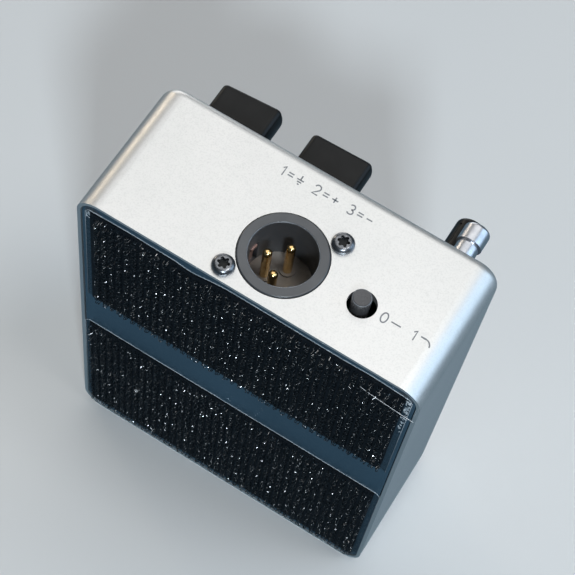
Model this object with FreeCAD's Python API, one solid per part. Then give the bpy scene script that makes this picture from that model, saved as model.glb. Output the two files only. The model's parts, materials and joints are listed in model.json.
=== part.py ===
import FreeCAD, Part
import math
import os

# A direct injection box: a five-sided metal enclosure closed by a sunk base plate.
#
# Frame, in millimetres: the unit stands on its front end.
#   +Z points out of the connector panel, so the floor is z = 0 at the front end.
#   -Y points out of the control face, +Y out of the base plate.
#   +X is to the right when looking at the control face.
# The origin is the centre of the front end, halfway through the enclosure's depth.

os.makedirs("parts", exist_ok=True)

# ---------------------------------------------------------------- driving dimensions

WIDTH = 96.0                    # X, side to side
DEPTH = 40.0                    # Y, control face to base rim
LENGTH = 127.5                  # Z, front end to connector panel
WALL = 2.5
CORNER_R = 6.5                  # corners seen from the control face
FACE_EDGE_R = 2.7               # edge between the control face and the four walls

PLATE_T = 1.2
PLATE_RECESS = 0.3              # base plate's outer face below the rim
PLATE_GAP = 0.35                # open joint all round the base plate
RIM = 1.0                       # rim left outside the base plate
PLATE_SCREW_INSET = 4.6         # screw centre from the enclosure's outer walls
PLATE_SCREW_R = 1.25
PLATE_SCREW_HEAD_R = 2.4
PLATE_SCREW_LENGTH = 8.0
BOSS_R = 3.6
BOSS_LENGTH = 14.0

FILM_T = 0.15
TAPE_T = 1.7
TAPE_REAR_Z = (76.0, 124.4)
TAPE_REAR_HALF_X = 44.0
TAPE_REAR_SKEW = 1.0            # its upper edge is cut askew by this much at each end
TAPE_FRONT_Z = (4.6, 58.4)
TAPE_FRONT_HALF_X = 45.2
FILM_MARGIN_X = 1.2
FILM_MARGIN_Z = 0.5

XLR_X = -1.45
XLR_Y = 5.95
XLR_COLLAR_R = 11.25
XLR_BORE_R = 8.6
XLR_CHAMFER = 0.25
XLR_PROUD = 0.4
XLR_HOLE_GAP = 0.25
XLR_BORE_DEPTH = 15.3           # from the panel's outer face to the contact carrier
XLR_CARRIER_T = 4.6
XLR_FLANGE_R = 12.4
XLR_FLANGE_T = 2.5
XLR_SCREW_OFFSET = 10.35        # along X and along Y from the centre
XLR_LOBE_R = 2.1
XLR_PIN_R = 1.2
XLR_PIN_CIRCLE_R = 4.15
XLR_PIN_TIP_DEPTH = 2.6
XLR_PIN_ANGLES = (0.0, 90.0, -90.0)
XLR_TAIL_R = 0.55
XLR_RIB_ANGLE = 134.0
XLR_WINDOW_ANGLE = -8.0

OUT_BOARD_TOP = 105.0
BOARD_T = 1.6

BUTTON_HOLE_X = -23.55
BUTTON_X = -23.15               # the switch sits a little off the hole's centre
BUTTON_Y = 6.55
BUTTON_HOLE_R = 3.75
BUTTON_CAP_R = 2.45
BUTTON_TOP_R = 2.1
BUTTON_PROUD = 3.1

MAIN_BOARD_FRONT = -10.7        # Y of the face that carries the controls
MAIN_BOARD_Z = (42.0, 121.0)
MAIN_BOARD_HALF_X = 43.0

KNOB_X = {"level": 29.6, "blend": 3.1}
KNOB_TURN = {"level": 7.0, "blend": 2.8}    # degrees, as the two knobs are left set
KNOB_Z = LENGTH - 12.0
KNOB_R = 8.9
KNOB_FLAT = 3.4                 # flat's distance from the shaft's axis
KNOB_TOP = 12.25                # above the control face
KNOB_LIFT = 2.6                 # the knobs stand clear of their nuts
KNOB_CORNER_R = 1.6             # where the flat meets the round
KNOB_TOP_R = 1.0

POT_BODY = 9.8
POT_SHAFT_R = 3.0
POT_SHAFT_FLAT = 1.5            # D-cut of the shaft inside the knob
POT_BUSH_R = 3.5
POT_BUSH_PROUD = 2.5
SHAFT_CLEARANCE = 0.05

TRIM_POT_BODY = 9.5
TRIM_SHAFT_R = 1.5
TRIM_HOLE_R = 1.9
TRIMS = {"metal_trim": (-36.4, LENGTH - 8.0), "black_trim": (-34.1, LENGTH - 18.0)}
METAL_TRIM_R = 3.45
METAL_TRIM_SKIRT_R = 2.9
METAL_TRIM_TOP = 10.75
METAL_TRIM_HEAD_LIFT = 5.45
BLACK_TRIM_R = 4.35
BLACK_TRIM_TOP = 16.15
TRIM_LIFT = 0.7

FOOT_Z = 28.0
FOOT_BODY = 17.2
FOOT_BODY_DEPTH = 19.0
FOOT_BUSH_R = 6.0
FOOT_BUSH_PROUD = 8.0
FOOT_BORE_R = 4.3
FOOT_CAP_R = 5.2
FOOT_CAP_T = 3.6
FOOT_CAP_GAP = 4.6              # under the cap, leaving room for its travel

LED_Z = 50.0
LED_R = 2.5
BEZEL_R = 4.0

JACK_Z = {"input": 78.0, "output": 58.0}
JACK_Y = -1.6
JACK_BORE_R = 3.25
JACK_BORE_DEPTH = 30.0
JACK_NOSE_R = 4.7
JACK_BODY = (28.0, 15.0, 15.0)

DC_Z = 97.0
DC_Y = -3.35
DC_NOSE_R = 5.2
DC_BORE_R = 2.85
DC_BORE_DEPTH = 12.0
DC_PIN_R = 1.05
DC_BODY = (14.0, 11.0, 9.0)

# ------------------------------------------------------------------ derived planes

HALF_W = WIDTH / 2
FACE_Y = -DEPTH / 2
BASE_Y = DEPTH / 2
FACE_IN = FACE_Y + WALL
PANEL_IN = LENGTH - WALL
PLATE_OUT = BASE_Y - PLATE_RECESS
PLATE_IN = PLATE_OUT - PLATE_T
MAIN_BOARD_BACK = MAIN_BOARD_FRONT + BOARD_T
COLLAR_TOP = LENGTH + XLR_PROUD
CARRIER_TOP = LENGTH - XLR_BORE_DEPTH

X_AXIS = FreeCAD.Vector(1, 0, 0)
Y_AXIS = FreeCAD.Vector(0, 1, 0)
Z_AXIS = FreeCAD.Vector(0, 0, 1)


# ------------------------------------------------------------------------- helpers

def vec(x, y, z):
    return FreeCAD.Vector(x, y, z)


def box(x, y, z):
    """Block between two X, two Y and two Z values."""
    return Part.makeBox(x[1] - x[0], y[1] - y[0], z[1] - z[0], vec(x[0], y[0], z[0]))


def centred(value, size):
    return (value - size / 2, value + size / 2)


def rod_x(radius, x0, x1, y, z):
    return Part.makeCylinder(radius, x1 - x0, vec(x0, y, z), X_AXIS)


def rod_y(radius, y0, y1, x, z):
    return Part.makeCylinder(radius, y1 - y0, vec(x, y0, z), Y_AXIS)


def rod_z(radius, z0, z1, x, y):
    return Part.makeCylinder(radius, z1 - z0, vec(x, y, z0), Z_AXIS)


def hex_y(across_flats, y0, y1, x, z):
    """Hexagonal prism along Y."""
    reach = across_flats / math.sqrt(3)
    corners = [
        vec(x + reach * math.cos(math.radians(60 * i)), y0, z + reach * math.sin(math.radians(60 * i)))
        for i in range(7)
    ]
    face = Part.Face(Part.makePolygon(corners))
    return face.extrude(vec(0, y1 - y0, 0))


def edges_where(shape, test):
    return [edge for edge in shape.Edges if all(test(v.Point) for v in edge.Vertexes)]


def edges_along_y(shape):
    def is_along(edge):
        a, b = edge.Vertexes[0].Point, edge.Vertexes[-1].Point
        return abs(a.x - b.x) < 1e-6 and abs(a.z - b.z) < 1e-6 and abs(a.y - b.y) > 1e-3
    return [edge for edge in shape.Edges if len(edge.Vertexes) == 2 and is_along(edge)]


def rounded_slab(inset, radius, y0, y1):
    """Slab of the enclosure's outline drawn in by an inset, with rounded corners."""
    slab = box((inset - HALF_W, HALF_W - inset), (y0, y1), (inset, LENGTH - inset))
    return slab.makeFillet(radius, edges_along_y(slab))


def fillet_at_y(shape, y, radius):
    edges = edges_where(shape, lambda p: abs(p.y - y) < 1e-4)
    return shape.makeFillet(radius, edges)


def fillet_at_z(shape, z, radius):
    edges = edges_where(shape, lambda p: abs(p.z - z) < 1e-4)
    return shape.makeFillet(radius, edges)


def polar(radius, degrees):
    return radius * math.cos(math.radians(degrees)), radius * math.sin(math.radians(degrees))


def export(node, shape):
    shape.exportStep("parts/" + node + ".step")


def group(shapes):
    return Part.makeCompound(shapes)


# ----------------------------------------------------------------------- enclosure

def plate_screw_points():
    low, high = PLATE_SCREW_INSET, LENGTH - PLATE_SCREW_INSET
    reach = HALF_W - PLATE_SCREW_INSET
    return [(sx * reach, z) for z in (low, high) for sx in (-1, 1)]


def standoff_points():
    return [(-40.0, 47.0), (40.0, 47.0), (40.0, 106.0), (-16.0, 116.5)]


def xlr_screw_points():
    return [(XLR_X + s * XLR_SCREW_OFFSET, XLR_Y + s * XLR_SCREW_OFFSET) for s in (-1, 1)]


def enclosure_shell():
    """Five-sided shell with four corner bosses, and a hole for every control and socket."""
    shell = rounded_slab(0.0, CORNER_R, FACE_Y, BASE_Y)
    shell = fillet_at_y(shell, FACE_Y, FACE_EDGE_R)
    shell = shell.cut(rounded_slab(WALL, CORNER_R - WALL, FACE_IN, BASE_Y + 1))
    bosses = [
        rod_y(BOSS_R, PLATE_IN - BOSS_LENGTH, PLATE_IN, x, z) for x, z in plate_screw_points()
    ]
    inside = rounded_slab(RIM + 0.2, CORNER_R - RIM - 0.2, FACE_IN, PLATE_IN)
    shell = shell.fuse([boss.common(inside) for boss in bosses]).removeSplitter()
    shell = shell.cut(rounded_slab(RIM, CORNER_R - RIM, PLATE_IN, BASE_Y + 1))
    holes = [
        rod_y(PLATE_SCREW_R, PLATE_IN - PLATE_SCREW_LENGTH, PLATE_IN + 1, x, z)
        for x, z in plate_screw_points()
    ]
    holes += [rod_y(POT_BUSH_R + 0.1, FACE_Y - 1, FACE_IN + 1, x, KNOB_Z) for x in KNOB_X.values()]
    holes += [rod_y(TRIM_HOLE_R, FACE_Y - 1, FACE_IN + 1, x, z) for x, z in TRIMS.values()]
    holes += [rod_y(FOOT_BUSH_R + 0.1, FACE_Y - 1, FACE_IN + 1, 0, FOOT_Z)]
    holes += [rod_y(LED_R + 0.7, FACE_Y - 1, FACE_IN + 1, 0, LED_Z)]
    holes += [rod_z(XLR_COLLAR_R + XLR_HOLE_GAP, PANEL_IN - 1, LENGTH + 1, XLR_X, XLR_Y)]
    holes += [rod_z(1.5, PANEL_IN - 1, LENGTH + 1, x, y) for x, y in xlr_screw_points()]
    holes += [rod_z(BUTTON_HOLE_R, PANEL_IN - 1, LENGTH + 1, BUTTON_HOLE_X, BUTTON_Y)]
    side = (HALF_W - WALL - 1, HALF_W + 1)
    holes += [rod_x(JACK_NOSE_R + 0.1, side[0], side[1], JACK_Y, z) for z in JACK_Z.values()]
    holes += [rod_x(DC_NOSE_R + 0.1, side[0], side[1], DC_Y, DC_Z)]
    return shell.cut(holes)


def countersink(x, z):
    """Cone of a countersunk head, wide end on the base plate's outer face."""
    depth = PLATE_SCREW_HEAD_R - PLATE_SCREW_R
    return Part.makeCone(PLATE_SCREW_R, PLATE_SCREW_HEAD_R, depth, vec(x, PLATE_OUT - depth, z), Y_AXIS)


def base_plate():
    inset = RIM + PLATE_GAP
    plate = rounded_slab(inset, CORNER_R - inset, PLATE_IN, PLATE_OUT)
    holes = [countersink(x, z) for x, z in plate_screw_points()]
    holes += [rod_y(PLATE_SCREW_R, PLATE_IN - 1, PLATE_OUT, x, z) for x, z in plate_screw_points()]
    return plate.cut(holes)


def base_plate_screws():
    """Four countersunk screws with a cross recess."""
    screws = []
    for x, z in plate_screw_points():
        screw = countersink(x, z).fuse(
            rod_y(PLATE_SCREW_R, PLATE_IN - PLATE_SCREW_LENGTH, PLATE_OUT - 0.5, x, z))
        for size_x, size_z in ((2.6, 0.6), (0.6, 2.6)):
            slot = box(centred(x, size_x), (PLATE_OUT - 0.7, PLATE_OUT + 1), centred(z, size_z))
            screw = screw.cut(slot)
        screws.append(screw)
    return group(screws)


def strip(half, low, high, skew, y, radius):
    """Flat strip across the base; its upper edge is higher by the skew at -X, lower at +X."""
    corners = [(-half, low), (half, low), (half, high - skew), (-half, high + skew), (-half, low)]
    face = Part.Face(Part.makePolygon([vec(x, y[0], z) for x, z in corners]))
    slab = face.extrude(vec(0, y[1] - y[0], 0))
    return slab.makeFillet(radius, edges_along_y(slab))


def export_base_strips():
    """Two strips of hook tape across the base, each on its film of clear adhesive."""
    film_top = PLATE_OUT + FILM_T
    strips = (
        ("rear", TAPE_REAR_HALF_X, TAPE_REAR_Z, TAPE_REAR_SKEW),
        ("front", TAPE_FRONT_HALF_X, TAPE_FRONT_Z, 0.0),
    )
    for name, half, (low, high), skew in strips:
        film = strip(half + FILM_MARGIN_X, low - FILM_MARGIN_Z, high + FILM_MARGIN_Z, skew,
                     (PLATE_OUT, film_top), 1.5)
        tape = strip(half, low, high, skew, (film_top, film_top + TAPE_T), 0.8)
        export("adhesive_film_" + name, film)
        export("hook_tape_" + name, tape)


# ------------------------------------------------------------ balanced output socket

def xlr_housing():
    """Moulded collar with its flange behind the panel, open at the back for the carrier."""
    collar = rod_z(XLR_COLLAR_R, OUT_BOARD_TOP, COLLAR_TOP, XLR_X, XLR_Y)
    collar = fillet_at_z(collar, COLLAR_TOP, 0.3)
    flange = rod_z(XLR_FLANGE_R, PANEL_IN - XLR_FLANGE_T, PANEL_IN, XLR_X, XLR_Y)
    lobes = [rod_z(XLR_LOBE_R, PANEL_IN - 6, PANEL_IN, x, y) for x, y in xlr_screw_points()]
    arm = XLR_SCREW_OFFSET * math.sqrt(2)
    bar = box((-arm, arm), (-XLR_LOBE_R, XLR_LOBE_R), (PANEL_IN - XLR_FLANGE_T, PANEL_IN))
    bar.rotate(vec(0, 0, 0), Z_AXIS, 45.0)
    bar.translate(vec(XLR_X, XLR_Y, 0))
    housing = collar.fuse([flange, bar] + lobes).removeSplitter()
    bore = rod_z(XLR_BORE_R, OUT_BOARD_TOP - 1, COLLAR_TOP + 1, XLR_X, XLR_Y)
    bore = bore.fuse(Part.makeCone(XLR_BORE_R, XLR_BORE_R + XLR_CHAMFER, XLR_CHAMFER,
                                   vec(XLR_X, XLR_Y, COLLAR_TOP - XLR_CHAMFER), Z_AXIS))
    housing = housing.cut([bore, xlr_window()])
    rib_x, rib_y = polar(XLR_BORE_R, XLR_RIB_ANGLE)
    rib = rod_z(0.95, CARRIER_TOP, LENGTH - 1.2, XLR_X + rib_x, XLR_Y + rib_y)
    rib = rib.common(rod_z(XLR_BORE_R + 0.8, CARRIER_TOP, LENGTH, XLR_X, XLR_Y))
    housing = housing.fuse(rib).removeSplitter()
    screw_holes = [rod_z(1.25, PANEL_IN - 6.5, PANEL_IN + 1, x, y) for x, y in xlr_screw_points()]
    return housing.cut(screw_holes)


def xlr_window():
    """Pocket in the collar's wall that holds the ground contact."""
    pocket = box((XLR_BORE_R - 1.0, XLR_BORE_R + 1.3), (-1.7, 1.7), (CARRIER_TOP, LENGTH - 6.6))
    pocket.rotate(vec(0, 0, 0), Z_AXIS, XLR_WINDOW_ANGLE)
    pocket.translate(vec(XLR_X, XLR_Y, 0))
    return pocket


def xlr_ground_contact():
    """Sprung copper strip lying in the collar's pocket."""
    strip_body = box((XLR_BORE_R + 0.7, XLR_BORE_R + 1.1), (-1.1, 1.1), (CARRIER_TOP, LENGTH - 7.0))
    tip = box((XLR_BORE_R - 0.3, XLR_BORE_R + 0.7), (-1.1, 1.1), (LENGTH - 8.0, LENGTH - 7.0))
    contact = strip_body.fuse(tip).removeSplitter()
    contact.rotate(vec(0, 0, 0), Z_AXIS, XLR_WINDOW_ANGLE)
    contact.translate(vec(XLR_X, XLR_Y, 0))
    return contact


def xlr_pin_points():
    points = []
    for angle in XLR_PIN_ANGLES:
        dx, dy = polar(XLR_PIN_CIRCLE_R, angle)
        points.append((XLR_X + dx, XLR_Y + dy))
    return points


def xlr_contact_carrier():
    """Disc that closes the socket, with a low raised land round the three pins."""
    bottom = CARRIER_TOP - XLR_CARRIER_T
    carrier = rod_z(XLR_BORE_R, bottom, CARRIER_TOP, XLR_X, XLR_Y)
    lands = [rod_z(2.0, CARRIER_TOP, CARRIER_TOP + 0.6, x, y) for x, y in xlr_pin_points()]
    carrier = carrier.fuse(lands).removeSplitter()
    return carrier.cut([rod_z(XLR_PIN_R, bottom - 1, LENGTH, x, y) for x, y in xlr_pin_points()])


def xlr_pins():
    """Three round-nosed pins, each with a thin tail through the output board."""
    pins = []
    top = LENGTH - XLR_PIN_TIP_DEPTH
    for x, y in xlr_pin_points():
        pin = rod_z(XLR_PIN_R, CARRIER_TOP - XLR_CARRIER_T, top, x, y)
        pin = fillet_at_z(pin, top, XLR_PIN_R * 0.92)
        tail = rod_z(XLR_TAIL_R, OUT_BOARD_TOP - BOARD_T - 1.2, CARRIER_TOP - XLR_CARRIER_T, x, y)
        pins.append(pin.fuse(tail).removeSplitter())
    return group(pins)


def six_lobe_recess(x, y, z0, z1):
    core = rod_z(1.15, z0, z1, x, y)
    lobes = []
    for i in range(6):
        dx, dy = polar(1.2, 60 * i + 12)
        lobes.append(rod_z(0.42, z0, z1, x + dx, y + dy))
    return core.fuse(lobes)


def xlr_screws():
    """Two pan-head screws with six-lobe recesses."""
    screws = []
    for x, y in xlr_screw_points():
        head = fillet_at_z(rod_z(2.9, LENGTH, LENGTH + 1.8, x, y), LENGTH + 1.8, 1.3)
        shank = rod_z(1.25, PANEL_IN - 5.5, LENGTH, x, y)
        screw = head.fuse(shank).removeSplitter()
        screws.append(screw.cut(six_lobe_recess(x, y, LENGTH + 0.5, LENGTH + 3)))
    return group(screws)


def output_board():
    board = box((-31.0, 14.0), (-6.0, 17.5), (OUT_BOARD_TOP - BOARD_T, OUT_BOARD_TOP))
    return board.cut([
        rod_z(XLR_TAIL_R + 0.1, OUT_BOARD_TOP - 3, OUT_BOARD_TOP + 1, x, y) for x, y in xlr_pin_points()
    ])


# ---------------------------------------------------------------------- push button

CASE_TOP = OUT_BOARD_TOP + 7.5
CAP_BOTTOM = LENGTH - 10.0
PLUNGER_HALF = 1.2


def button_switch_case():
    case = box(centred(BUTTON_X, 8.0), centred(BUTTON_Y, 8.0), (OUT_BOARD_TOP, CASE_TOP))
    well = box(centred(BUTTON_X, 2 * PLUNGER_HALF + 0.3), centred(BUTTON_Y, 2 * PLUNGER_HALF + 0.3),
               (OUT_BOARD_TOP + 1.0, CASE_TOP + 1))
    return case.cut(well)


def button_plunger():
    return box(centred(BUTTON_X, 2 * PLUNGER_HALF), centred(BUTTON_Y, 2 * PLUNGER_HALF),
               (CASE_TOP - 3.0, CAP_BOTTOM + 3.0))


def button_cap():
    """Round cap with a chamfered top, pushed onto the square plunger."""
    top = LENGTH + BUTTON_PROUD
    chamfer = BUTTON_CAP_R - BUTTON_TOP_R
    cap = rod_z(BUTTON_CAP_R, CAP_BOTTOM, top - chamfer, BUTTON_X, BUTTON_Y)
    crown = Part.makeCone(BUTTON_CAP_R, BUTTON_TOP_R, chamfer,
                          vec(BUTTON_X, BUTTON_Y, top - chamfer), Z_AXIS)
    cap = cap.fuse(crown).removeSplitter()
    return cap.cut(box(centred(BUTTON_X, 2 * PLUNGER_HALF), centred(BUTTON_Y, 2 * PLUNGER_HALF),
                       (CAP_BOTTOM - 1, CAP_BOTTOM + 3.0)))


def coil_spring(radius, wire_r, height, turns):
    """Open helical spring along Z, starting at z = 0, of wire with an eight-sided section."""
    helix = Part.makeHelix(height / turns, height, radius)
    corners = []
    for k in range(9):
        angle = math.radians(45 * k)
        corners.append(vec(radius + wire_r * math.cos(angle), 0, wire_r * math.sin(angle)))
    return Part.Wire(helix.Edges).makePipeShell([Part.makePolygon(corners)], True, True)


def button_spring():
    spring = coil_spring(2.1, 0.2, CAP_BOTTOM - CASE_TOP - 0.6, 4)
    spring.translate(vec(BUTTON_X, BUTTON_Y, CASE_TOP + 0.3))
    return spring


# --------------------------------------------------------------------- rotary controls

def pot_body(x, z, size, shaft_r, bush_r, bush_top):
    """Square potentiometer body on the board, with a round bushing if it has one."""
    body = box(centred(x, size), (FACE_IN, MAIN_BOARD_FRONT), centred(z, size))
    if bush_r:
        body = body.fuse(rod_y(bush_r, bush_top, FACE_IN, x, z)).removeSplitter()
    return body.cut(rod_y(shaft_r + SHAFT_CLEARANCE, bush_top - 1, MAIN_BOARD_FRONT - 1.5, x, z))


def turned(shape, x, z, degrees):
    """Turn a shape about its control's axis; a positive angle leans +Z towards +X."""
    shape.rotate(vec(x, 0, z), Y_AXIS, degrees)
    return shape


def d_prism(x, z, radius, flat, y0, y1):
    """Round bar with one flat, the flat facing +Z."""
    bar = rod_y(radius, y0, y1, x, z)
    cutter = box((x - 2 * radius, x + 2 * radius), (y0 - 1, y1 + 1), (z + flat, z + 2 * radius))
    return bar.cut(cutter)


def knob(x):
    """D-shaped knob with a blind D-shaped bore for its shaft."""
    top = FACE_Y - KNOB_TOP
    bottom = FACE_Y - KNOB_LIFT
    body = d_prism(x, KNOB_Z, KNOB_R, KNOB_FLAT, top, bottom)
    corners = [e for e in edges_along_y(body) if abs(e.Vertexes[0].Z - KNOB_Z - KNOB_FLAT) < 1e-4]
    body = body.makeFillet(KNOB_CORNER_R, corners)
    body = fillet_at_y(body, top, KNOB_TOP_R)
    return body.cut([d_shaft_end(x), pointer(x)])


def pointer(x):
    """Inlaid line on the knob's top, running up to the flat side."""
    top = FACE_Y - KNOB_TOP
    return box(centred(x, 1.1), (top, top + 0.5), (KNOB_Z - 4.2, KNOB_Z + KNOB_FLAT - KNOB_TOP_R - 0.1))


def d_shaft_end(x):
    """The D-cut length of a shaft, which fills the knob's bore."""
    end = FACE_Y - KNOB_TOP + 2.4
    return d_prism(x, KNOB_Z, POT_SHAFT_R, POT_SHAFT_FLAT, end, FACE_Y - KNOB_LIFT)


def pot_shaft(x):
    round_part = rod_y(POT_SHAFT_R, FACE_Y - KNOB_LIFT, MAIN_BOARD_FRONT - 1.6, x, KNOB_Z)
    return round_part.fuse(d_shaft_end(x)).removeSplitter()


def export_knob_sets():
    bush_top = FACE_Y - POT_BUSH_PROUD
    nuts = []
    washers = []
    for name, x in KNOB_X.items():
        body = pot_body(x, KNOB_Z, POT_BODY, POT_SHAFT_R, POT_BUSH_R, bush_top)
        angle = KNOB_TURN[name]
        export(name + "_pot_body", body)
        export(name + "_pot_shaft", turned(pot_shaft(x), x, KNOB_Z, angle))
        export(name + "_knob", turned(knob(x), x, KNOB_Z, angle))
        export(name + "_knob_pointer", turned(pointer(x), x, KNOB_Z, angle))
        bush = rod_y(POT_BUSH_R, bush_top - 1, FACE_IN, x, KNOB_Z)
        washers.append(rod_y(5.2, FACE_Y - 0.4, FACE_Y, x, KNOB_Z).cut(bush))
        nuts.append(hex_y(10.0, FACE_Y - 2.3, FACE_Y - 0.4, x, KNOB_Z).cut(bush))
    export("pot_nuts", group(nuts))
    export("pot_washers", group(washers))


def metal_trim_knob(x, z):
    """Turned metal knob: a skirt, a narrow groove, then a wider head with a rounded rim."""
    bottom = FACE_Y - TRIM_LIFT
    top = FACE_Y - METAL_TRIM_TOP
    head_bottom = FACE_Y - METAL_TRIM_HEAD_LIFT
    head = fillet_at_y(rod_y(METAL_TRIM_R, top, head_bottom, x, z), top, 1.0)
    groove = rod_y(METAL_TRIM_SKIRT_R - 0.5, head_bottom, head_bottom + 0.6, x, z)
    skirt = rod_y(METAL_TRIM_SKIRT_R, head_bottom + 0.6, bottom, x, z)
    return head.fuse([groove, skirt]).removeSplitter()


def black_trim_knob(x, z):
    """Plain moulded knob with a softly rounded top and eight grip flutes."""
    top = FACE_Y - BLACK_TRIM_TOP
    body = fillet_at_y(rod_y(BLACK_TRIM_R, top, FACE_Y - TRIM_LIFT, x, z), top, 1.4)
    flutes = []
    for i in range(8):
        dx, dz = polar(BLACK_TRIM_R + 0.55, 45 * i)
        flutes.append(rod_y(0.8, top + 2.4, FACE_Y, x + dx, z + dz))
    return body.cut(flutes)


def export_trim_sets():
    makers = {"metal_trim": metal_trim_knob, "black_trim": black_trim_knob}
    for name, (x, z) in TRIMS.items():
        cap_top = FACE_Y - (METAL_TRIM_TOP if name == "metal_trim" else BLACK_TRIM_TOP)
        shaft = rod_y(TRIM_SHAFT_R, cap_top + 3.0, MAIN_BOARD_FRONT - 1.6, x, z)
        cap = makers[name](x, z).cut(shaft)
        export(name + "_pot_body", pot_body(x, z, TRIM_POT_BODY, TRIM_SHAFT_R, 0.0, FACE_IN))
        export(name + "_shaft", shaft)
        export(name + "_knob", cap)


# ----------------------------------------------------------------------- footswitch

BUSH_TOP = FACE_Y - FOOT_BUSH_PROUD
FOOT_BACK = FACE_IN + FOOT_BODY_DEPTH
PLUNGER_BACK = FACE_IN + 6.0
FOOT_CAP_BACK = BUSH_TOP - FOOT_CAP_GAP


def footswitch_body():
    body = box(centred(0, FOOT_BODY), (FACE_IN, FOOT_BACK), centred(FOOT_Z, FOOT_BODY))
    body = body.fuse(rod_y(FOOT_BUSH_R, BUSH_TOP, FACE_IN, 0, FOOT_Z)).removeSplitter()
    return body.cut(rod_y(FOOT_BORE_R, BUSH_TOP - 1, FACE_IN + 12.0, 0, FOOT_Z))


def footswitch_button():
    """Wide domed cap on a plunger that runs in the bushing."""
    cap = rod_y(FOOT_CAP_R, FOOT_CAP_BACK - FOOT_CAP_T, FOOT_CAP_BACK, 0, FOOT_Z)
    cap = fillet_at_y(cap, FOOT_CAP_BACK - FOOT_CAP_T, 1.6)
    stem = rod_y(FOOT_BORE_R - SHAFT_CLEARANCE, FOOT_CAP_BACK, PLUNGER_BACK, 0, FOOT_Z)
    return cap.fuse(stem).removeSplitter()


def export_footswitch():
    bush = rod_y(FOOT_BUSH_R, BUSH_TOP - 1, FACE_IN, 0, FOOT_Z)
    washer = rod_y(8.4, FACE_Y - 0.8, FACE_Y, 0, FOOT_Z).cut(bush)
    nut = hex_y(14.6, FACE_Y - 3.3, FACE_Y - 0.8, 0, FOOT_Z).cut(bush)
    lugs = [
        box(centred(6 * i, 2.4), (FOOT_BACK, FOOT_BACK + 4.0), centred(FOOT_Z + 5 * j, 0.8))
        for i in (-1, 0, 1) for j in (-1, 0, 1)
    ]
    export("footswitch_body", footswitch_body())
    export("footswitch_button", footswitch_button())
    export("footswitch_washer", washer)
    export("footswitch_nut", nut)
    export("footswitch_lugs", group(lugs))


# ------------------------------------------------------------------- indicator lamp

def export_lamp():
    lens = rod_y(LED_R, FACE_Y - 2.6, MAIN_BOARD_FRONT, 0, LED_Z)
    lens = fillet_at_y(lens, FACE_Y - 2.6, LED_R * 0.9)
    ring = rod_y(BEZEL_R, FACE_Y - 1.6, FACE_Y, 0, LED_Z)
    ring = fillet_at_y(ring, FACE_Y - 1.6, 0.9)
    sleeve = rod_y(LED_R + 0.6, FACE_Y, FACE_IN, 0, LED_Z)
    bezel = ring.fuse(sleeve).removeSplitter()
    bezel = bezel.cut(rod_y(LED_R, FACE_Y - 4, MAIN_BOARD_FRONT, 0, LED_Z))
    export("status_lamp_lens", lens)
    export("status_lamp_bezel", bezel)


# ------------------------------------------------------------------- side connectors

def jack(z):
    """Quarter-inch socket: a square body inside and a round nose flush with the side wall."""
    long, deep, tall = JACK_BODY
    inner = HALF_W - WALL
    body = box((inner - long, inner), centred(JACK_Y, deep), centred(z, tall))
    nose = rod_x(JACK_NOSE_R, inner, HALF_W, JACK_Y, z)
    socket = body.fuse(nose).removeSplitter()
    return socket.cut(rod_x(JACK_BORE_R, HALF_W - JACK_BORE_DEPTH, HALF_W + 1, JACK_Y, z))


def jack_contacts():
    """Solder tabs on both sides of each jack, reaching the main board."""
    tabs = []
    half = JACK_BODY[2] / 2
    for centre in JACK_Z.values():
        for i in range(3):
            x = 24.0 + 7.0 * i
            for z in (centre - half - 0.2, centre + half + 0.2):
                tabs.append(box(centred(x, 2.0), (MAIN_BOARD_BACK, -3.0), centred(z, 0.4)))
    return group(tabs)


def dc_inlet():
    long, deep, tall = DC_BODY
    inner = HALF_W - WALL
    body = box((inner - long, inner), centred(DC_Y, deep), centred(DC_Z, tall))
    inlet = body.fuse(rod_x(DC_NOSE_R, inner, HALF_W, DC_Y, DC_Z)).removeSplitter()
    return inlet.cut(rod_x(DC_BORE_R, HALF_W - DC_BORE_DEPTH, HALF_W + 1, DC_Y, DC_Z))


def dc_centre_pin():
    return rod_x(DC_PIN_R, HALF_W - DC_BORE_DEPTH, HALF_W - 1.0, DC_Y, DC_Z)


# ------------------------------------------------------------------------- electronics

def main_board():
    board = box((-MAIN_BOARD_HALF_X, MAIN_BOARD_HALF_X), (MAIN_BOARD_FRONT, MAIN_BOARD_BACK), MAIN_BOARD_Z)
    holes = [rod_y(1.3, MAIN_BOARD_FRONT - 1, MAIN_BOARD_BACK + 1, x, z) for x, z in standoff_points()]
    return board.cut(holes)


def export_board_mounting():
    """Threaded spacers between the control face and the main board, with their screws."""
    standoffs = []
    screws = []
    for x, z in standoff_points():
        bore = rod_y(1.25, FACE_IN + 1.5, MAIN_BOARD_FRONT, x, z)
        standoffs.append(hex_y(5.0, FACE_IN, MAIN_BOARD_FRONT, x, z).cut(bore))
        head = rod_y(2.3, MAIN_BOARD_BACK, MAIN_BOARD_BACK + 1.5, x, z)
        head = fillet_at_y(head, MAIN_BOARD_BACK + 1.5, 0.7)
        shank = rod_y(1.25, FACE_IN + 2.5, MAIN_BOARD_BACK, x, z)
        slot = box(centred(x, 3.4), (MAIN_BOARD_BACK + 0.9, MAIN_BOARD_BACK + 3), centred(z, 0.6))
        screws.append(head.fuse(shank).removeSplitter().cut(slot))
    export("board_standoffs", group(standoffs))
    export("board_screws", group(screws))


def on_board(x, z, size_x, size_z, height):
    """Block standing on the back of the main board."""
    return box(centred(x, size_x), (MAIN_BOARD_BACK, MAIN_BOARD_BACK + height), centred(z, size_z))


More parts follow.
